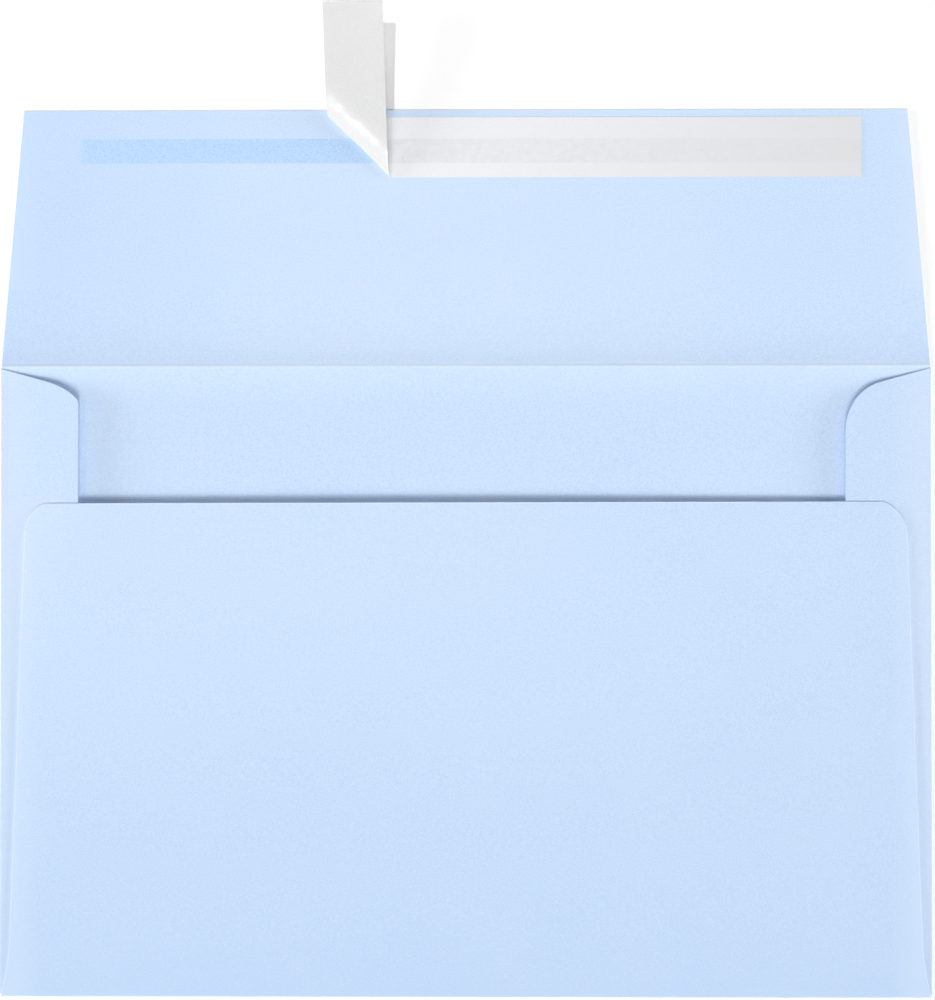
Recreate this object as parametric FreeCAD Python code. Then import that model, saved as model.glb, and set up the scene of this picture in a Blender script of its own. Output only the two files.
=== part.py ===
"""Paper envelope with a square flap, lying open on its address side.

Millimetres. The origin is the centre of the front panel's outer face, which
lies on the table. +X runs along the flap crease, +Y from the bottom fold to
the flap, +Z up out of the table.
"""
import FreeCAD, Part
import os
from math import asin, atan2, cos, radians, sin, tan
from FreeCAD import Vector

# Body of the folded sheet
WIDTH = 206.375             # over the two side folds
HEIGHT = 139.7              # from the bottom fold to the flap crease
PAPER = 0.15                # thickness of the sheet
SIDE_FOLD_INNER = 0.08      # inner radius of each side fold
SEAM_GAP = 0.16             # room for the gum between a side flap and the back panel
CORNER_RELIEF = 0.35        # a side fold stops this far short of the bottom bend
CREASE_RELIEF = 0.55        # a side fold stops this far short of the flap crease

# Seal flap
FLAP_DEPTH = 56.85          # crease to the flap's straight top edge
FLAP_TAPER = 5.15           # each side edge leans in by this much at the top
FLAP_BASE_INSET = 0.15      # step in from the side fold where the flap begins
FLAP_LIFT = 0.25            # the opened flap springs this far off the table
FLAP_EASE = 30.0            # length over which it rises from the crease
BEAD_HEIGHT = 0.08          # ridge that the crease leaves in the opened sheet
BEAD_HALF = 0.5             # half the width of that ridge

# Side flaps, which lie inside under the back panel
SHOULDER_SLOPE = 15.8       # degrees that the sloping ends make with the crease
LEFT_FLAP_WIDTH = 17.45
LEFT_SHOULDER_RADIUS = 14.0
LEFT_SHOULDER_EXIT = 48.0   # degrees: the left curve meets the edge in a corner
RIGHT_FLAP_WIDTH = 19.05
RIGHT_SHOULDER_RADIUS = 11.0
RIGHT_SHOULDER_EXIT = 90.0  # degrees: the right curve runs into the edge

# Back panel, folded up from the bottom
PANEL_HEIGHT = 109.4        # bottom fold to the middle of the throat edge
PANEL_SKEW = 0.35           # the throat edge stands this much higher at the right
PANEL_TOP_INSET = 5.6       # side edges, measured in from the side folds
PANEL_LOW_INSET = 2.2
LOW_SHOULDER = 13.75        # height at which the low inset is measured
LOW_SHOULDER_RADIUS = 62.0
LEFT_CORNER_RADIUS = 7.5
LEFT_CORNER_EXIT = 66.0     # degrees turned before the corner meets the throat
RIGHT_CORNER_RADIUS = 8.5
RIGHT_CORNER_EXIT = 68.0

# How far the pocket stands open at the throat
SEAM_RISE = 1.45            # gained across the side flaps, on average
SEAM_SKEW = 0.35            # the left side stands this much higher, the right lower
SEAM_SPAN = 18.0            # distance from the side fold over which it is gained
THROAT_CROWN = 0.5          # further rise of the back panel at mid-width

# Seam gum, midway in the room between each side flap and the back panel
GUM_THICK = 0.04
GUM_WIDTH = 9.0
GUM_EDGE_GAP = 2.0          # from the side flap's free edge
GUM_TOP_GAP = 5.5           # below the throat edge
GUM_LENGTH = 89.0

# Adhesive band on the flap
BAND_WIDTH = 5.4
BAND_LENGTH = 171.2
BAND_TOP_GAP = 6.35         # below the flap's top edge
BAND_THICK = 0.05

# Release liner: flat on the band, then peeled and turned over
LINER_WIDTH = 13.4
LINER_THICK = 0.06
LINER_OVERLAP = 4.8         # stands past the band on the flap-edge side
LINER_END_OVERLAP = 2.35    # stands past the band's right end
LINER_TURN_X = -15.75       # where its lower edge leaves the band
LINER_AXIS = 44.3           # degrees between the turned edge and the band
ROLL_INNER = 0.4            # inner radius of the turn
ROLL_ANGLE = 150.0          # degrees turned in the tight roll
TAIL_CURL = 24.0            # further degrees, turned gently beside the roll
CURL_RUN = 6.0              # distance across the turned edge that this takes
TIP_FLICK = 6.0             # degrees that the rest of the tail bends back up
TAIL_LENGTH = 40.2          # peeled length, along the lower edge

# Worked out from the sizes above
SIDE_FOLD_OUTER = SIDE_FOLD_INNER + PAPER
SIDE_FLAP_Z = PAPER + 2 * SIDE_FOLD_INNER
PANEL_Z = SIDE_FLAP_Z + PAPER + SEAM_GAP
BOTTOM_FOLD_INNER = (PANEL_Z - PAPER) / 2
BOTTOM_FOLD_OUTER = BOTTOM_FOLD_INNER + PAPER
HALF = WIDTH / 2
FLAT_X = HALF - SIDE_FOLD_OUTER
CREASE_Y = HEIGHT / 2
BOTTOM_Y = -HEIGHT / 2
FLAT_BOTTOM_Y = BOTTOM_Y + BOTTOM_FOLD_OUTER
SIDE_TOP_Y = CREASE_Y - CREASE_RELIEF
SIDE_BOTTOM_Y = FLAT_BOTTOM_Y + CORNER_RELIEF
THROAT_Y = BOTTOM_Y + PANEL_HEIGHT
FLAP_TOP_Y = CREASE_Y + FLAP_DEPTH
FLAP_FACE_Z = FLAP_LIFT + PAPER
BAND_TOP_Y = FLAP_TOP_Y - BAND_TOP_GAP

# Counts of rows and cross-sections that shape the curved surfaces
SPRING_COLUMN_COUNT = 49
SPRING_ROW_COUNT = 33
ROLL_SECTION_COUNT = 14
TAIL_SECTION_COUNT = 15
CUT_MARGIN = 10.0           # a cutting block stands this far past what it cuts


def wire(start, *steps):
    """Closed outline in the XY plane. A step is (end,) or (through, end)."""
    edges, here = [], Vector(*start, 0)
    for step in steps + ((start,),):
        points = [Vector(*p, 0) for p in step]
        if len(points) == 2:
            edges.append(Part.Arc(here, points[0], points[1]).toShape())
        elif (points[0] - here).Length > 1e-6:
            edges.append(Part.makeLine(here, points[0]))
        here = points[-1]
    return Part.Wire(edges)


def prism(outline, low, high):
    """Upright solid with the given outline, between two heights."""
    face = Part.Face(outline)
    face.translate(Vector(0, 0, low))
    return face.extrude(Vector(0, 0, high - low))


def ease(t):
    """Smooth step from 0 to 1, level at both ends."""
    t = min(max(t, 0.0), 1.0)
    return t * t * (3 - 2 * t)


def spring(x, y):
    """Height by which the folded layers stand up from lying shut."""
    from_fold = FLAT_X - abs(x)
    rise = SEAM_RISE - SEAM_SKEW * x / FLAT_X
    across = rise * ease(from_fold / SEAM_SPAN)
    across += THROAT_CROWN * (1 - (x / FLAT_X) ** 2) ** 2
    return across * ease((y - FLAT_BOTTOM_Y) / (THROAT_Y - FLAT_BOTTOM_Y))


def spring_face():
    """The sprung surface over the whole body, at height zero at the folds."""
    grid = []
    for i in range(SPRING_COLUMN_COUNT):
        x = FLAT_X * (2 * i / (SPRING_COLUMN_COUNT - 1) - 1)
        ys = [FLAT_BOTTOM_Y + (SIDE_TOP_Y - FLAT_BOTTOM_Y) * j / (SPRING_ROW_COUNT - 1)
              for j in range(SPRING_ROW_COUNT)]
        grid.append([Vector(x, y, spring(x, y)) for y in ys])
    surface = Part.BSplineSurface()
    surface.interpolate(grid)
    return surface.toShape()


def sprung_layer(face, outline, low, thickness):
    """Layer of even upright thickness that follows the sprung surface."""
    layer = face.copy()
    layer.translate(Vector(0, 0, low))
    layer = layer.extrude(Vector(0, 0, thickness))
    top = low + SEAM_RISE + SEAM_SKEW + THROAT_CROWN + thickness
    return layer.common(prism(outline, low - CUT_MARGIN, top + CUT_MARGIN))


def fold_bend(inner, place, run):
    """Half-round bend of the sheet. place(p, z) puts outward p and height z."""
    outer = inner + PAPER
    a, b = place(0, 0), place(0, 2 * outer)
    c, d = place(0, 2 * outer - PAPER), place(0, PAPER)
    edges = [
        Part.Arc(a, place(outer, outer), b).toShape(),
        Part.makeLine(b, c),
        Part.Arc(c, place(inner, outer), d).toShape(),
        Part.makeLine(d, a),
    ]
    return Part.Face(Part.Wire(edges)).extrude(run)


def crease_profile():
    """Edge of the front panel and flap in the YZ plane, underside first."""
    start, end = CREASE_Y - BEAD_HALF, CREASE_Y + BEAD_HALF
    under = [Part.makeLine(Vector(0, FLAT_BOTTOM_Y, 0), Vector(0, start, 0))]
    under.append(Part.Arc(Vector(0, start, 0), Vector(0, CREASE_Y, BEAD_HEIGHT),
                          Vector(0, end, 0)).toShape())
    rise = Part.BezierCurve()
    rise.setPoles([Vector(0, end, 0), Vector(0, end + FLAP_EASE / 2, 0),
                   Vector(0, end + FLAP_EASE / 2, FLAP_LIFT),
                   Vector(0, end + FLAP_EASE, FLAP_LIFT)])
    under.append(rise.toShape())
    under.append(Part.makeLine(Vector(0, end + FLAP_EASE, FLAP_LIFT),
                               Vector(0, FLAP_TOP_Y, FLAP_LIFT)))
    return under


def front_outline():
    """Flat outline of the front panel and the tapered flap above it."""
    base, top = HALF - FLAP_BASE_INSET, HALF - FLAP_TAPER
    bend_x = panel_bottom_half()
    right = [(bend_x, FLAT_BOTTOM_Y), (bend_x, SIDE_BOTTOM_Y), (FLAT_X, SIDE_BOTTOM_Y),
             (FLAT_X, SIDE_TOP_Y), (base, SIDE_TOP_Y), (top, FLAP_TOP_Y)]
    left = [(-x, y) for x, y in reversed(right)]
    points = right + left
    return wire(points[0], *[(p,) for p in points[1:]])


def front_and_flap():
    """Front panel, crease and flap: one length of sheet in profile."""
    strip = None
    for edge in crease_profile():
        piece = edge.extrude(Vector(0, 0, PAPER)).extrude(Vector(WIDTH, 0, 0))
        piece.translate(Vector(-HALF, 0, 0))
        strip = piece if strip is None else strip.fuse(piece)
    return strip.common(prism(front_outline(), -CUT_MARGIN, FLAP_LIFT + CUT_MARGIN))


def side_flap_outline(side, width, radius, exit_angle):
    """Side flap with sloping, curved shoulders at both ends. side is 1 or -1."""
    slope, leave = radians(SHOULDER_SLOPE), radians(exit_angle)
    edge_x = HALF - width
    run = FLAT_X - edge_x - radius * (sin(leave) - sin(slope))

    def on_curve(angle):
        return (FLAT_X - run - radius * (sin(angle) - sin(slope)),
                run * tan(slope) + radius * (cos(slope) - cos(angle)))

    start, middle, end = (on_curve(a) for a in (slope, (slope + leave) / 2, leave))
    top = [(side * x, SIDE_TOP_Y - drop) for x, drop in (start, middle, end)]
    low = [(side * x, SIDE_BOTTOM_Y + drop) for x, drop in (end, middle, start)]
    return wire((side * FLAT_X, SIDE_TOP_Y), (top[0],), (top[1], top[2]), (low[0],),
                (low[1], low[2]), ((side * FLAT_X, SIDE_BOTTOM_Y),))


def panel_lean():
    """Angle of the back panel's side edges from upright, in radians."""
    return atan2(PANEL_TOP_INSET - PANEL_LOW_INSET, PANEL_HEIGHT - LOW_SHOULDER)


def low_shoulder(drop):
    """Point of the right low shoulder, a height below its top."""
    lean = panel_lean()
    angle = asin(sin(lean) + drop / LOW_SHOULDER_RADIUS)
    out = LOW_SHOULDER_RADIUS * (cos(lean) - cos(angle))
    return HALF - PANEL_LOW_INSET + out, BOTTOM_Y + LOW_SHOULDER - drop


def panel_bottom_half():
    """Half the length of the bottom bend, where the low shoulders reach it."""
    return low_shoulder(LOW_SHOULDER - BOTTOM_FOLD_OUTER)[0]


def throat_corner(radius, exit_angle, top_y):
    """Three points of a right throat corner, from the side edge to the throat."""
    lean, leave = panel_lean(), radians(exit_angle)
    foot_y = top_y - radius * (sin(leave) - sin(lean))
    above = foot_y - BOTTOM_Y - LOW_SHOULDER
    foot_x = HALF - PANEL_LOW_INSET - above * tan(lean)
    return [(foot_x - radius * (cos(lean) - cos(a)), foot_y + radius * (sin(a) - sin(lean)))
            for a in (lean, (lean + leave) / 2, leave)]


def panel_outline():
    """Outline of the back panel above the bottom bend."""
    right = throat_corner(RIGHT_CORNER_RADIUS, RIGHT_CORNER_EXIT,
                          THROAT_Y + PANEL_SKEW / 2)
    left = [(-x, y) for x, y in throat_corner(LEFT_CORNER_RADIUS, LEFT_CORNER_EXIT,
                                              THROAT_Y - PANEL_SKEW / 2)]
    top, mid, end = (low_shoulder(d) for d in (0, LOW_SHOULDER / 2,
                                               LOW_SHOULDER - BOTTOM_FOLD_OUTER))
    return wire(end, (mid, top), (right[0],), (right[1], right[2]), (left[2],),
                (left[1], left[0]), ((-top[0], top[1]),),
                ((-mid[0], mid[1]), (-end[0], end[1])))


def side_wing(face, side, width, radius, exit_angle):
    """Side fold and the side flap that it carries."""
    bend = fold_bend(SIDE_FOLD_INNER,
                     lambda p, z: Vector(side * (FLAT_X + p), SIDE_BOTTOM_Y, z),
                     Vector(0, SIDE_TOP_Y - SIDE_BOTTOM_Y, 0))
    outline = side_flap_outline(side, width, radius, exit_angle)
    return bend.fuse(sprung_layer(face, outline, SIDE_FLAP_Z, PAPER))


def back_panel(face):
    """Bottom fold and the back panel that it carries."""
    half = panel_bottom_half()
    bend = fold_bend(BOTTOM_FOLD_INNER,
                     lambda p, z: Vector(-half, FLAT_BOTTOM_Y - p, z),
                     Vector(2 * half, 0, 0))
    return bend.fuse(sprung_layer(face, panel_outline(), PANEL_Z, PAPER))


def envelope_sheet(face):
    """The whole die-cut sheet, folded: one solid."""
    sheet = front_and_flap()
    sheet = sheet.fuse(side_wing(face, -1, LEFT_FLAP_WIDTH, LEFT_SHOULDER_RADIUS,
                                 LEFT_SHOULDER_EXIT))
    sheet = sheet.fuse(side_wing(face, 1, RIGHT_FLAP_WIDTH, RIGHT_SHOULDER_RADIUS,
                                 RIGHT_SHOULDER_EXIT))
    return sheet.fuse(back_panel(face)).removeSplitter()


def seam_gum(face, side, flap_width):
    """Gum that holds one side flap to the back panel."""
    near = HALF - flap_width + GUM_EDGE_GAP
    top = THROAT_Y - GUM_TOP_GAP
    corners = [(side * near, top), (side * (near + GUM_WIDTH), top),
               (side * (near + GUM_WIDTH), top - GUM_LENGTH), (side * near, top - GUM_LENGTH)]
    outline = wire(corners[0], *[(p,) for p in corners[1:]])
    low = SIDE_FLAP_Z + PAPER + (SEAM_GAP - GUM_THICK) / 2
    return sprung_layer(face, outline, low, GUM_THICK)


def adhesive_band():
    """Peel-and-press adhesive, flat on the flap near its top edge."""
    return Part.makeBox(BAND_LENGTH, BAND_WIDTH, BAND_THICK,
                        Vector(-BAND_LENGTH / 2, BAND_TOP_Y - BAND_WIDTH, FLAP_FACE_Z))


class LinerTurn:
    """The peeled length of liner: a tight slanting roll, a gentle curl, a free tail."""

    def __init__(self):
        axis = radians(LINER_AXIS)
        self.base = Vector(LINER_TURN_X, BAND_TOP_Y + LINER_OVERLAP - LINER_WIDTH,
                           FLAP_FACE_Z + BAND_THICK)
        self.along = Vector(-cos(axis), sin(axis), 0)
        self.out = Vector(-sin(axis), -cos(axis), 0)
        self.axis = axis
        outer = ROLL_INNER + LINER_THICK
        self.roll_run = outer * radians(ROLL_ANGLE)
        self.end_run = TAIL_LENGTH * sin(axis)
        rest = self.end_run - self.roll_run - CURL_RUN
        self.arcs = [(self.roll_run, 1 / outer), (CURL_RUN, radians(TAIL_CURL) / CURL_RUN),
                     (rest, -radians(TIP_FLICK) / rest)]

    def profile(self, run):
        """Turn angle, outward place and height after a run across the axis."""
        angle = u = z = 0.0
        for arc_run, curvature in self.arcs:
            turned = angle + curvature * max(0.0, min(run, arc_run))
            u += (sin(turned) - sin(angle)) / curvature
            z += (cos(angle) - cos(turned)) / curvature
            angle = turned
            run -= arc_run
        return angle, u, z

    def section(self, run):
        """Cut through the liner along one straight line of the roll."""
        angle, u, z = self.profile(run)
        low = self.base + self.along * (run / tan(self.axis)) + self.out * u
        low += Vector(0, 0, z)
        across = self.along * (LINER_WIDTH / sin(self.axis))
        inward = self.out * (-sin(angle) * LINER_THICK)
        inward += Vector(0, 0, cos(angle) * LINER_THICK)
        corners = [low, low + across, low + across + inward, low + inward]
        return Part.makePolygon(corners + corners[:1])

    def length(self, start, end, count):
        """Solid liner between two runs, through evenly spaced sections."""
        runs = [start + (end - start) * i / (count - 1) for i in range(count)]
        return Part.makeLoft([self.section(r) for r in runs], True)

    def end_cut(self):
        """Block that trims the tail square across its width."""
        angle, u, z = self.profile(self.end_run)
        tip = self.base + self.along * (self.end_run / tan(self.axis)) + self.out * u
        tip += Vector(0, 0, z)
        ahead = self.along * cos(self.axis) + self.out * (sin(self.axis) * cos(angle))
        ahead += Vector(0, 0, sin(self.axis) * sin(angle))
        reach = 2 * LINER_WIDTH + CUT_MARGIN
        block = Part.makeBox(2 * reach, 2 * reach, reach, Vector(-reach, -reach, 0))
        block.Placement = FreeCAD.Placement(
            tip, FreeCAD.Rotation(Vector(0, 0, 1), ahead))
        return block


def release_liner():
    """Liner on the band, rolled over at a slant, with a free tail."""
    turn = LinerTurn()
    right = BAND_LENGTH / 2 + LINER_END_OVERLAP
    low = turn.base
    slant = LINER_WIDTH / tan(turn.axis)
    flat = wire((right, low.y), ((right, low.y + LINER_WIDTH),),
                ((low.x - slant, low.y + LINER_WIDTH),), ((low.x, low.y),))
    liner = prism(flat, low.z, low.z + LINER_THICK)
    liner = liner.fuse(turn.length(0, turn.roll_run, ROLL_SECTION_COUNT))
    tail = turn.length(turn.roll_run, turn.end_run, TAIL_SECTION_COUNT)
    return liner.fuse(tail).cut(turn.end_cut()).removeSplitter()


def main():
    face = spring_face()
    nodes = {
        "envelope_sheet": envelope_sheet(face),
        "seam_gum_left": seam_gum(face, -1, LEFT_FLAP_WIDTH),
        "seam_gum_right": seam_gum(face, 1, RIGHT_FLAP_WIDTH),
        "adhesive_band": adhesive_band(),
        "release_liner": release_liner(),
    }
    os.makedirs("parts", exist_ok=True)
    for name, shape in nodes.items():
        box = shape.BoundBox
        print(f"{name}: solids {len(shape.Solids)} valid {shape.isValid()} "
              f"volume {shape.Volume:.1f} x {box.XMin:.2f}..{box.XMax:.2f} "
              f"y {box.YMin:.2f}..{box.YMax:.2f} z {box.ZMin:.3f}..{box.ZMax:.3f}")
        shape.exportStep(f"parts/{name}.step")


main()
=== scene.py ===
"""The looks of an open paper envelope, seen from straight above.

Metres, in the same frame as the solids: +X along the flap crease, +Y towards
the flap, +Z up out of the table. The origin is under the middle of the body.
"""
import math

import bpy
from mathutils import Euler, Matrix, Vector


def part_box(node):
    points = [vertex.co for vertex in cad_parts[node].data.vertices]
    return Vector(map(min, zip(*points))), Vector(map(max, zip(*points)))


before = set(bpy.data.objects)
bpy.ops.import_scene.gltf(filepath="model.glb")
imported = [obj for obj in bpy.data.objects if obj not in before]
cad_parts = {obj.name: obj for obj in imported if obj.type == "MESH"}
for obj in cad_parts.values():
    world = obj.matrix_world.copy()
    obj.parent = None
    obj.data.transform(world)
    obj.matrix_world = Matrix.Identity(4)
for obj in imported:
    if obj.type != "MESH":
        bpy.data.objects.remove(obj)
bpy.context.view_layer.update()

MM = 0.001
METRE_IN_MM = 1000.0

# Camera
LENS_MM = 150.0
CAMERA_AT = (0.017916, 0.023309, 0.923518)
CAMERA_TILT_DEG = (1.0435, 1.0770, -0.0100)

# Colours
# Pale and dark ends of the paper's grain; the painted light and shade on the paper also mix towards
# these
PAPER_LIGHT = "#D8E8FD"
PAPER_DARK = "#BAD5F6"
# Painted highlight along the back panel's cut edges
PAPER_EDGE_HIGHLIGHT = "#EAF4FF"
ADHESIVE = "#C6E0FC"
ADHESIVE_DEEP = "#A6C9F1"
LINER_FACE = "#F0F2F5"
LINER_THIN = "#E9EBEE"
# Painted shade towards the liner's right end
LINER_FAR_SHADE = "#D2D4D6"
# The band's tint seen through the liner
LINER_OVER_BAND = "#D4D6D8"
LINER_SPECK = "#B9BCBD"
LINER_COATED = "#E0E0E0"
LINER_COATED_THIN = "#D9D9DA"
GUM = "#C9CBC4"
GUM_PALE = "#D8D9D2"
FLOOR = "#FFFFFF"

# Places on the object, in metres
BOTTOM_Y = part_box("envelope_sheet")[0].y
CREASE_Y = -BOTTOM_Y            # the origin is midway between the bottom fold and the crease
SINGLE_SHEET_Z = 0.0003         # the front panel and flap lie below this beside the crease
BAND_LOW, BAND_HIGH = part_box("adhesive_band")
LINER_LOW, LINER_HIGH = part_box("release_liner")
FLAT_LINER_Z = LINER_LOW.z + 0.00015        # above this the liner is turned over

# Back panel, in metres
PANEL_HEIGHT = 0.1094           # bottom fold to the middle of the throat edge
THROAT_Y = BOTTOM_Y + PANEL_HEIGHT
THROAT_RISE = 0.0019            # the throat edge is higher at the right by this much per metre
THROAT_HALF = 0.084             # the painted highlight on it keeps between the side flaps
THROAT_Z = 0.0022               # and above this height
TOP_INSET = 0.0056              # side edges, measured in from the side folds
LOW_INSET = 0.0022
LOW_SHOULDER = 0.01375          # height at which the low inset is measured
LOW_SHOULDER_Y = BOTTOM_Y + LOW_SHOULDER
EDGE_LEAN = math.atan2(TOP_INSET - LOW_INSET, PANEL_HEIGHT - LOW_SHOULDER)
CUT_WIDTH = 0.00022             # width of the painted highlight along a cut edge
# Rounded corners: x and y of the middle, and the radius
RIGHT_CORNER = (0.08936, 0.03184, 0.0085)
LEFT_CORNER = (0.09033, 0.03252, 0.0075)
LOW_CORNER = (0.16295, -0.0539, 0.062)      # hollow, so its middle is outside the panel

# Crease, in metres
CREASE_REACH = 0.013            # a bump shades the sheet as if bent this far to each side
CREASE_RIDGE = 0.00075          # height of the bend that the light sees
RIDGE_POWER = 3.0               # sharpness of its top
SCORE_RISE = 0.00025            # the score runs this far above the crease line
SCORE_REACH = 0.0009
# Strength of the pale score line: partly fibre wear, partly painted light
SCORE_WEAR_AND_LIGHT = 0.8
# Painted light in a soft band below the crease, for the bent sheet facing the lamps
LIT_BAND_REACH = 0.0095
LIT_BAND_LIGHT = 0.26

# Painted light and shade on the paper. A pair says where a tone starts and where it is full, in
# metres.
# Painted shade, darker towards the bottom fold
LOW_SHADE_Y = (0.02, BOTTOM_Y)
LOW_SHADE = 0.42
# Painted light on the back panel's upper half
PANEL_PAINTED_LIGHT_Y = (-0.02, THROAT_Y)
PANEL_PAINTED_LIGHT_X = (0.05, 0.0)
PANEL_PAINTED_LIGHT = 0.26
# Painted light along the flap's middle
FLAP_PAINTED_LIGHT_X = (0.09, 0.015)
FLAP_PAINTED_LIGHT_Y = (CREASE_Y, CREASE_Y + 0.004)
FLAP_PAINTED_LIGHT = 0.28
# Painted shade towards the flap's left edge
FLAP_SHADE_X = (-0.05, -0.09)
FLAP_SHADE = 0.26
# Painted light along the two side folds
FOLD_PAINTED_LIGHT_X = (0.094, 0.1)
FOLD_PAINTED_LIGHT = 0.4
# Painted highlights along the throat edge and the side edges
THROAT_HIGHLIGHT = 0.6
SIDE_HIGHLIGHT = 0.5

# Grain of the paper, in millimetres
GRAIN_MM = 0.36
FIBRE_MM = 0.35
FIBRE_HEIGHT_MM = 0.02
CLOUD_MM = 30.0
CLOUD_PALE = 0.12

# Adhesive
BARE_END = 0.0020               # it thins out over this length, in metres
BARE_SHARE = 0.4                # the paper's share in its tone at the very end
RIPPLE_MM = 0.9
RIPPLE_HEIGHT_MM = 0.02

# Liner
LINER_FAR_SHADE_X = (-0.016, LINER_HIGH.x)        # painted shade: darker towards its right end
LINER_FAR_SHADE_SHARE = 0.75
LINER_GRAIN_MM = 0.42
LINER_FIBRE_MM = 0.4
LINER_FIBRE_HEIGHT_MM = 0.008
PATCH_MM = 1.6
PATCH_SHARES = (0.15, 0.55)     # least and most of the band's tint that shows through
SPECK_MM = 0.9
SPECK_SHARE = 0.5
WAVE_MM = 9.0
WAVE_HEIGHT_MM = 0.35
MATT_ROUGHNESS = 0.42
COATED_ROUGHNESS = 0.17

# Gum and floor
GUM_PATCH_MM = 1.5
GUM_HEIGHT_MM = 0.02
TOOTH_MM = 2.0
TOOTH_HEIGHT_MM = 0.01
FLOOR_HALF = 1.5
FLOOR_Z = -0.00002              # just under the sheet, so that the two faces never coincide

# Light. A share is the part of full white that one lamp gives the table.
SKY_SHARE = 0.02
KEY_AT = (-0.453, 0.82, 1.0)
KEY_TARGET = (0, 0.03, 0)
KEY_RADIUS = 0.03
KEY_SHARE = 0.12
TABLE_KEY_SHARE = 0.17
# name, compass angle (0 is +X), height angle, width in degrees, share, use. The use is
# all, matt (no gloss), envelope (matt, on the envelope alone) or gloss (nothing but gloss).
SOFT_BOXES = (
    ("front_high", -90, 58, 20, 0.18, "all"),
    ("front_low", -90, 40, 24, 0.07, "all"),
    ("sheet_fill", -90, 50, 20, 0.17, "envelope"),
    ("front_right", -40, 48, 20, 0.10, "matt"),
    ("front_left", -138, 46, 20, 0.12, "matt"),
    ("left_low", 180, 10, 16, 0.13, "matt"),
    ("right_low", 0, 10, 16, 0.12, "matt"),
    ("glint", -134, 57, 10, 0.10, "gloss"),
)

# Sockets of the colour Mix node that share their names with others
MIX_FIRST, MIX_SECOND, MIX_RESULT = 6, 7, 2


def linear(hex_colour):
    """Scene colour of a written sRGB colour."""
    parts = [int(hex_colour[i:i + 2], 16) / 255 for i in (1, 3, 5)]
    straight = [p / 12.92 if p <= 0.04045 else ((p + 0.055) / 1.055) ** 2.4 for p in parts]
    return (*straight, 1.0)


class Nodes:
    """Short hand for building one material's node tree."""

    def __init__(self, name):
        self.material = bpy.data.materials.new(name)
        self.material.use_nodes = True
        self.tree = self.material.node_tree
        self.tree.nodes.clear()
        self.output = self.tree.nodes.new("ShaderNodeOutputMaterial")

    def add(self, kind, **values):
        """Node with its settings, or else its sockets of those names, set."""
        node = self.tree.nodes.new("ShaderNode" + kind)
        for key, value in values.items():
            if hasattr(node, key):
                setattr(node, key, value)
            else:
                node.inputs[key.replace("_", " ")].default_value = value
        return node

    def feed(self, value, socket):
        """Links an output to a socket, or sets a plain value on it."""
        if isinstance(value, bpy.types.NodeSocket):
            self.tree.links.new(value, socket)
        else:
            socket.default_value = value

    def place(self):
        """Position on the object, in metres."""
        return self.add("TexCoord").outputs["Object"]

    def axes(self, place):
        """X, Y and Z of a position."""
        node = self.add("SeparateXYZ")
        self.feed(place, node.inputs[0])
        return node.outputs

    def noise(self, place, size_mm, detail=2.0, roughness=0.5):
        """Soft noise with features of about the given size, from 0 to 1."""
        node = self.add("TexNoise", Scale=1 / (size_mm * MM), Detail=detail, Roughness=roughness)
        self.feed(place, node.inputs["Vector"])
        return node.outputs["Fac"]

    def maths(self, operation, *values):
        """Sum worked on numbers or outputs."""
        node = self.add("Math", operation=operation)
        for value, socket in zip(values, node.inputs):
            self.feed(value, socket)
        return node.outputs[0]

    def product(self, first, *others):
        """All the values multiplied together."""
        for value in others:
            first = self.maths("MULTIPLY", first, value)
        return first

    def over(self, value, limit):
        """1 where the value is greater than the limit, 0 elsewhere."""
        return self.maths("GREATER_THAN", value, limit)

    def below(self, value, limit):
        """1 where the value is less than the limit, 0 elsewhere."""
        return self.maths("LESS_THAN", value, limit)

    def choose(self, gate, first, second):
        """The first value where the gate is 0, the second where it is 1."""
        return self.maths("ADD", self.product(self.maths("SUBTRACT", 1.0, gate), first),
                          self.product(gate, second))

    def ramp(self, value, low, high, to_low=0.0, to_high=1.0, smooth=False):
        """Straight or smooth change from one number to another, held past both ends."""
        node = self.add("MapRange", From_Min=low, From_Max=high, To_Min=to_low, To_Max=to_high)
        if smooth:
            node.interpolation_type = "SMOOTHSTEP"
        self.feed(value, node.inputs["Value"])
        return node.outputs["Result"]

    def grow(self, value, start_and_full, strength=1.0, smooth=False):
        """0 at the first of two places, the full strength at the second."""
        return self.ramp(value, *start_and_full, 0.0, strength, smooth)

    def mix(self, factor, first, second):
        """Colour between two, each an output or a colour."""
        node = self.add("Mix", data_type="RGBA")
        self.feed(factor, node.inputs["Factor"])
        self.feed(first, node.inputs[MIX_FIRST])
        self.feed(second, node.inputs[MIX_SECOND])
        return node.outputs[MIX_RESULT]

    def bump(self, height, distance_mm, strength=1.0, under=None):
        """Normal tilted by a height, on top of another normal if one is given."""
        node = self.add("Bump", Strength=strength, Distance=distance_mm * MM)
        self.feed(height, node.inputs["Height"])
        if under is not None:
            self.feed(under, node.inputs["Normal"])
        return node.outputs["Normal"]

    def surface(self, colour, normal, **values):
        """Ends the tree in one shader with a colour, a normal and the values given."""
        shader = self.add("BsdfPrincipled", **values)
        self.feed(colour, shader.inputs["Base Color"])
        self.feed(normal, shader.inputs["Normal"])
        self.feed(shader.outputs["BSDF"], self.output.inputs["Surface"])
        return shader


def crease_ridge(n, axes):
    """Height, in metres, of a bump that shades the sheet as if it were bent beside the crease."""
    away = n.maths("ABSOLUTE", n.maths("SUBTRACT", axes["Y"], CREASE_Y))
    near = n.grow(away, (CREASE_REACH, 0.0))
    return n.product(n.maths("POWER", near, RIDGE_POWER), CREASE_RIDGE,
                     n.below(axes["Z"], SINGLE_SHEET_Z))


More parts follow.
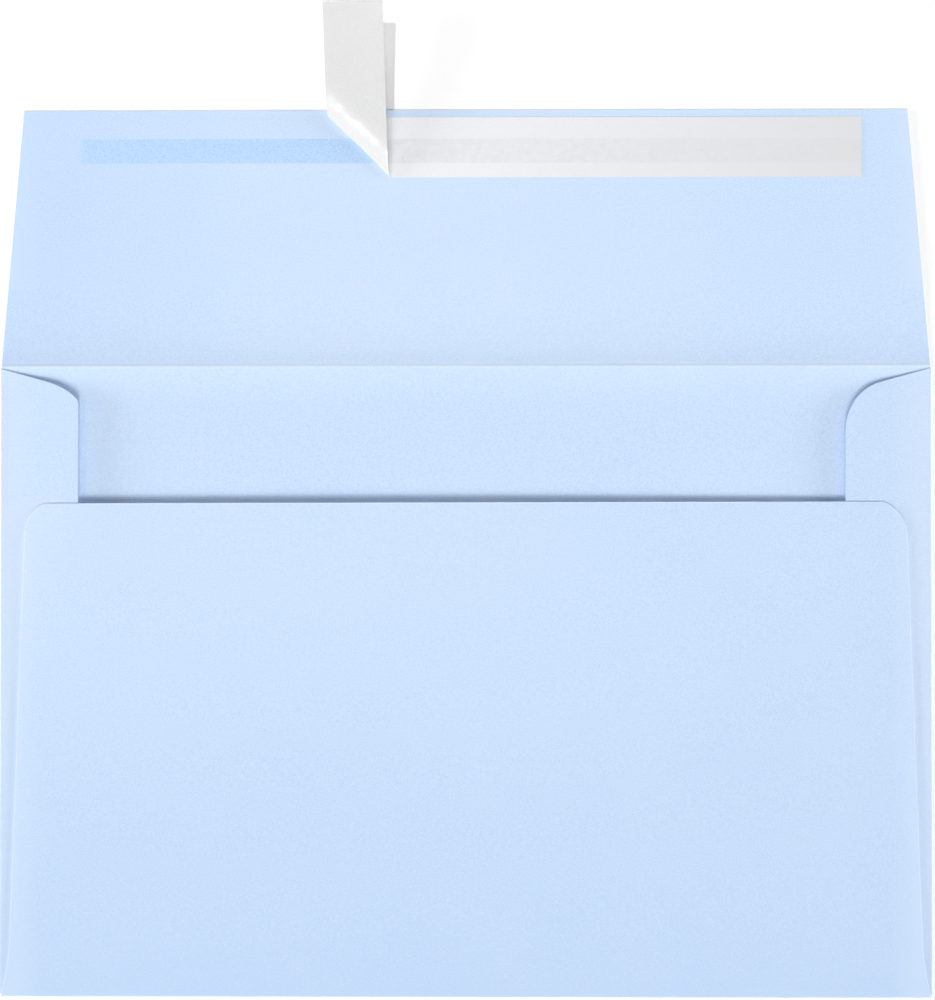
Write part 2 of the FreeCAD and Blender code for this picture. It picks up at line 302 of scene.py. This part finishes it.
def crease_wear_and_light(n, axes):
    """Painted light at the crease: a fine pale line along the score, partly fibre wear and partly
    painted light, and a soft band of painted light below it, for the bent sheet facing the lamps.
    """
    above = n.maths("SUBTRACT", axes["Y"], CREASE_Y)
    from_score = n.maths("ABSOLUTE", n.maths("SUBTRACT", above, SCORE_RISE))
    line = n.grow(from_score, (SCORE_REACH, 0.0), SCORE_WEAR_AND_LIGHT)
    band = n.product(n.grow(above, (-LIT_BAND_REACH, 0.0), LIT_BAND_LIGHT), n.below(above, 0.0))
    return n.product(n.maths("MAXIMUM", line, band), n.below(axes["Z"], SINGLE_SHEET_Z))


def flap_middle_light(n, axes):
    """Painted light: a little paler along the middle of the open flap."""
    middle = n.grow(n.maths("ABSOLUTE", axes["X"]), FLAP_PAINTED_LIGHT_X, FLAP_PAINTED_LIGHT, smooth=True)
    return n.product(middle, n.grow(axes["Y"], FLAP_PAINTED_LIGHT_Y))


def flap_left_shade(n, axes):
    """Painted shade: a little darker towards the open flap's left edge."""
    return n.product(n.grow(axes["X"], FLAP_SHADE_X, FLAP_SHADE), n.over(axes["Y"], CREASE_Y))


def panel_top_light(n, axes):
    """Painted light: a little paler at the left and middle of the back panel's upper half."""
    return n.product(n.grow(axes["Y"], PANEL_PAINTED_LIGHT_Y, PANEL_PAINTED_LIGHT), n.below(axes["Y"], THROAT_Y),
                     n.grow(axes["X"], PANEL_PAINTED_LIGHT_X))


def side_fold_light(n, axes):
    """Painted light: paler along the two side folds."""
    beside = n.grow(n.maths("ABSOLUTE", axes["X"]), FOLD_PAINTED_LIGHT_X, FOLD_PAINTED_LIGHT)
    return n.product(beside, n.over(axes["Z"], SINGLE_SHEET_Z))


def throat_edge(n, axes):
    """1 along the throat's cut edge between the side flaps, where a highlight is painted, 0
    elsewhere.
    """
    start = n.maths("MULTIPLY_ADD", axes["X"], THROAT_RISE, THROAT_Y - CUT_WIDTH)
    return n.product(n.over(axes["Y"], start), n.below(axes["Y"], THROAT_Y + 2 * CUT_WIDTH),
                     n.over(axes["Z"], THROAT_Z),
                     n.below(n.maths("ABSOLUTE", axes["X"]), THROAT_HALF))


def side_edge(n, axes):
    """1 along the back panel's two side edges and their corners, where a highlight is painted, 0
    elsewhere.
    """
    across = n.maths("ABSOLUTE", axes["X"])

    def at_edge(inward):
        """1 within the width of the cut edge."""
        return n.product(n.over(inward, 0.0), n.below(inward, CUT_WIDTH))

    def reach(corner):
        """Distance from a corner's middle."""
        beside = n.maths("POWER", n.maths("SUBTRACT", across, corner[0]), 2.0)
        above = n.maths("POWER", n.maths("SUBTRACT", axes["Y"], corner[1]), 2.0)
        return n.maths("SQRT", n.maths("ADD", beside, above))

    def upper(corner):
        """The straight edge of one side, and its rounded corner at the throat."""
        middle_x, middle_y, radius = corner
        foot_x = middle_x + radius * math.cos(EDGE_LEAN)
        foot_y = middle_y + radius * math.sin(EDGE_LEAN)
        edge = n.maths("MULTIPLY_ADD", n.maths("SUBTRACT", foot_y, axes["Y"]),
                       math.tan(EDGE_LEAN), foot_x)
        straight = at_edge(n.maths("SUBTRACT", edge, across))
        rounded = n.product(at_edge(n.maths("SUBTRACT", radius, reach(corner))),
                            n.over(across, middle_x))
        return n.choose(n.over(axes["Y"], foot_y), straight, rounded)

    sides = n.choose(n.over(axes["X"], 0.0), upper(LEFT_CORNER), upper(RIGHT_CORNER))
    low = at_edge(n.maths("SUBTRACT", reach(LOW_CORNER), LOW_CORNER[2]))
    line = n.choose(n.over(axes["Y"], LOW_SHOULDER_Y), low, sides)
    return n.product(line, n.over(axes["Z"], SINGLE_SHEET_Z))


def paper_tone(n, grain):
    """The paper's own colour, mottled by its grain."""
    return n.mix(grain, linear(PAPER_DARK), linear(PAPER_LIGHT))


def paper_material():
    """Uncoated dyed paper: fine fibre mottle and faint clouds, with painted light and shade: broad
    gradients, light at the crease and side folds, and highlights along cut edges.
    """
    n = Nodes("envelope_paper")
    place = n.place()
    axes = n.axes(place)
    grain = n.ramp(n.noise(place, GRAIN_MM, detail=3.0, roughness=0.75), 0.28, 0.72)
    clouds = n.ramp(n.noise(place, CLOUD_MM), 0.35, 0.65, 0.0, CLOUD_PALE)
    tone = paper_tone(n, grain)
    # Past the clouds, each of these is painted light or shade; the score line is partly fibre wear
    # too
    for share, colour in (
        (clouds, PAPER_LIGHT),
        (n.grow(axes["Y"], LOW_SHADE_Y, LOW_SHADE), PAPER_DARK),
        (crease_wear_and_light(n, axes), PAPER_LIGHT),
        (flap_middle_light(n, axes), PAPER_LIGHT),
        (panel_top_light(n, axes), PAPER_LIGHT),
        (side_fold_light(n, axes), PAPER_LIGHT),
        (flap_left_shade(n, axes), PAPER_DARK),
        (n.product(throat_edge(n, axes), THROAT_HIGHLIGHT), PAPER_EDGE_HIGHLIGHT),
        (n.product(side_edge(n, axes), SIDE_HIGHLIGHT), PAPER_EDGE_HIGHLIGHT),
    ):
        tone = n.mix(share, tone, linear(colour))
    ridge = n.bump(crease_ridge(n, axes), METRE_IN_MM)
    fibres = n.noise(place, FIBRE_MM, detail=3.0, roughness=0.6)
    n.surface(tone, n.bump(fibres, FIBRE_HEIGHT_MM, strength=0.35, under=ridge),
              Roughness=0.86, Specular_IOR_Level=0.2)
    return n.material


def adhesive_material():
    """Clear pressure-sensitive film over the paper: deeper, glossier, and thin where it starts."""
    n = Nodes("adhesive")
    place = n.place()
    grain = n.ramp(n.noise(place, GRAIN_MM, detail=3.0, roughness=0.75), 0.32, 0.68)
    deep = n.mix(grain, linear(ADHESIVE_DEEP), linear(ADHESIVE))
    bare = n.grow(n.axes(place)["X"], (BAND_LOW.x + BARE_END, BAND_LOW.x), BARE_SHARE)
    ripples = n.bump(n.noise(place, RIPPLE_MM), RIPPLE_HEIGHT_MM, strength=0.3)
    n.surface(n.mix(bare, deep, paper_tone(n, grain)), ripples, Roughness=0.5)
    return n.material


def liner_material():
    """Glassine: matt where it lies on the band, with painted shade towards its right end; coated
    side up where it is turned.
    """
    n = Nodes("liner")
    place = n.place()
    axes = n.axes(place)
    grain = n.ramp(n.noise(place, LINER_GRAIN_MM, roughness=0.7), 0.3, 0.7)
    on_band = n.product(n.over(axes["Y"], BAND_LOW.y), n.below(axes["Y"], BAND_HIGH.y))
    patches = n.ramp(n.noise(place, PATCH_MM, detail=3.0, roughness=0.7), 0.3, 0.7, *PATCH_SHARES)
    specks = n.ramp(n.noise(place, SPECK_MM, detail=1.0), 0.80, 0.82)
    flat = n.mix(grain, linear(LINER_THIN), linear(LINER_FACE))
    # Painted shade towards the right end
    flat = n.mix(n.grow(axes["X"], LINER_FAR_SHADE_X, LINER_FAR_SHADE_SHARE), flat, linear(LINER_FAR_SHADE))
    flat = n.mix(n.product(on_band, patches), flat, linear(LINER_OVER_BAND))
    flat = n.mix(n.product(specks, on_band, SPECK_SHARE), flat, linear(LINER_SPECK))
    coated = n.mix(grain, linear(LINER_COATED_THIN), linear(LINER_COATED))
    turned = n.over(axes["Z"], FLAT_LINER_Z)
    waves = n.bump(n.noise(place, WAVE_MM), WAVE_HEIGHT_MM, strength=0.8)
    fibres = n.bump(n.noise(place, LINER_FIBRE_MM, roughness=0.6), LINER_FIBRE_HEIGHT_MM,
                    strength=0.25, under=waves)
    shader = n.surface(n.mix(turned, flat, coated), fibres, Specular_IOR_Level=0.85)
    n.feed(n.ramp(turned, 0.0, 1.0, MATT_ROUGHNESS, COATED_ROUGHNESS), shader.inputs["Roughness"])
    return n.material


def gum_material():
    """Dried seam gum: dull and patchy."""
    n = Nodes("seam_gum")
    patches = n.noise(n.place(), GUM_PATCH_MM, detail=3.0)
    n.surface(n.mix(patches, linear(GUM), linear(GUM_PALE)),
              n.bump(patches, GUM_HEIGHT_MM, strength=0.5), Roughness=0.45)
    return n.material


def floor_material():
    """White table with a barely visible tooth."""
    n = Nodes("floor")
    tooth = n.bump(n.noise(n.place(), TOOTH_MM), TOOTH_HEIGHT_MM, strength=0.1)
    n.surface(linear(FLOOR), tooth, Roughness=1.0, Specular_IOR_Level=0.0)
    return n.material


def paint(material, *nodes):
    """Gives solids one material each, all over."""
    for node in nodes:
        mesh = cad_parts[node].data
        mesh.materials.clear()
        mesh.materials.append(material)


def make_floor():
    """The table that the envelope lies on."""
    corners = [(x * FLOOR_HALF, y * FLOOR_HALF, 0) for x, y in ((-1, -1), (1, -1), (1, 1), (-1, 1))]
    mesh = bpy.data.meshes.new("floor")
    mesh.from_pydata(corners, [], [(0, 1, 2, 3)])
    mesh.materials.append(floor_material())
    floor = bpy.data.objects.new("floor", mesh)
    floor.location.z = FLOOR_Z
    bpy.context.scene.collection.objects.link(floor)
    return floor


def lamp(name, kind, place, target, share, **settings):
    """Lamp that gives a white table at the target the stated share of white."""
    toward = Vector(place) - Vector(target)
    slant = toward.normalized().z
    data = bpy.data.lights.new(name, kind)
    for key, value in settings.items():
        setattr(data, key, value)
    if kind == "SUN":
        data.energy = share * math.pi / slant
    else:
        data.energy = share * math.pi ** 2 * toward.length_squared / slant
    light = bpy.data.objects.new(name, data)
    light.location = place
    light.rotation_euler = toward.to_track_quat("Z", "Y").to_euler()
    light.visible_camera = False
    bpy.context.scene.collection.objects.link(light)
    return light


def limit(light, role, objects):
    """Keeps what a lamp lights, or what casts its shadows, to some objects."""
    group = bpy.data.collections.new(light.name + "_" + role)
    for item in objects:
        group.objects.link(item)
    setattr(light.light_linking, role + "_collection", group)


def make_keys(floor):
    """Two small keys that draw the liner's shadow: one for all, one for the table alone."""
    for name, share in (("key", KEY_SHARE), ("table_key", TABLE_KEY_SHARE)):
        light = lamp(name, "AREA", KEY_AT, KEY_TARGET, share, shape="DISK", size=2 * KEY_RADIUS)
        limit(light, "blocker", [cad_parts["release_liner"]])
        if name == "table_key":
            limit(light, "receiver", [floor])


def make_soft_boxes():
    """Wide lamps from the front and the sides."""
    for name, compass, height, width, share, use in SOFT_BOXES:
        compass, height = math.radians(compass), math.radians(height)
        place = (math.cos(compass) * math.cos(height), math.sin(compass) * math.cos(height),
                 math.sin(height))
        light = lamp(name, "SUN", place, (0, 0, 0), share, angle=math.radians(width))
        light.visible_glossy = use in ("all", "gloss")
        light.visible_diffuse = use != "gloss"
        if use == "envelope":
            limit(light, "receiver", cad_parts.values())


def make_world():
    """Faint even sky for light, plain white for what the camera and gloss see."""
    world = bpy.data.worlds.new("sky")
    bpy.context.scene.world = world
    world.use_nodes = True
    tree = world.node_tree
    tree.nodes.clear()
    path = tree.nodes.new("ShaderNodeLightPath")
    seen = path.outputs["Is Camera Ray"]
    for ray in ("Is Glossy Ray", "Is Transmission Ray"):
        either = tree.nodes.new("ShaderNodeMath")
        either.operation = "MAXIMUM"
        tree.links.new(seen, either.inputs[0])
        tree.links.new(path.outputs[ray], either.inputs[1])
        seen = either.outputs[0]
    gate = tree.nodes.new("ShaderNodeMixShader")
    tree.links.new(seen, gate.inputs["Fac"])
    for strength, socket in ((SKY_SHARE, gate.inputs[1]), (1.0, gate.inputs[2])):
        background = tree.nodes.new("ShaderNodeBackground")
        background.inputs["Color"].default_value = (1, 1, 1, 1)
        background.inputs["Strength"].default_value = strength
        tree.links.new(background.outputs[0], socket)
    out = tree.nodes.new("ShaderNodeOutputWorld")
    tree.links.new(gate.outputs[0], out.inputs["Surface"])


def make_camera():
    """Camera above the table, looking down, as the photograph was taken."""
    data = bpy.data.cameras.new("camera")
    data.lens = LENS_MM
    camera = bpy.data.objects.new("camera", data)
    camera.location = CAMERA_AT
    camera.rotation_euler = Euler([math.radians(a) for a in CAMERA_TILT_DEG])
    bpy.context.scene.collection.objects.link(camera)
    bpy.context.scene.camera = camera


bpy.context.scene.view_settings.view_transform = "Standard"
paint(paper_material(), "envelope_sheet")
paint(adhesive_material(), "adhesive_band")
paint(liner_material(), "release_liner")
paint(gum_material(), "seam_gum_left", "seam_gum_right")
make_keys(make_floor())
make_soft_boxes()
make_world()
make_camera()
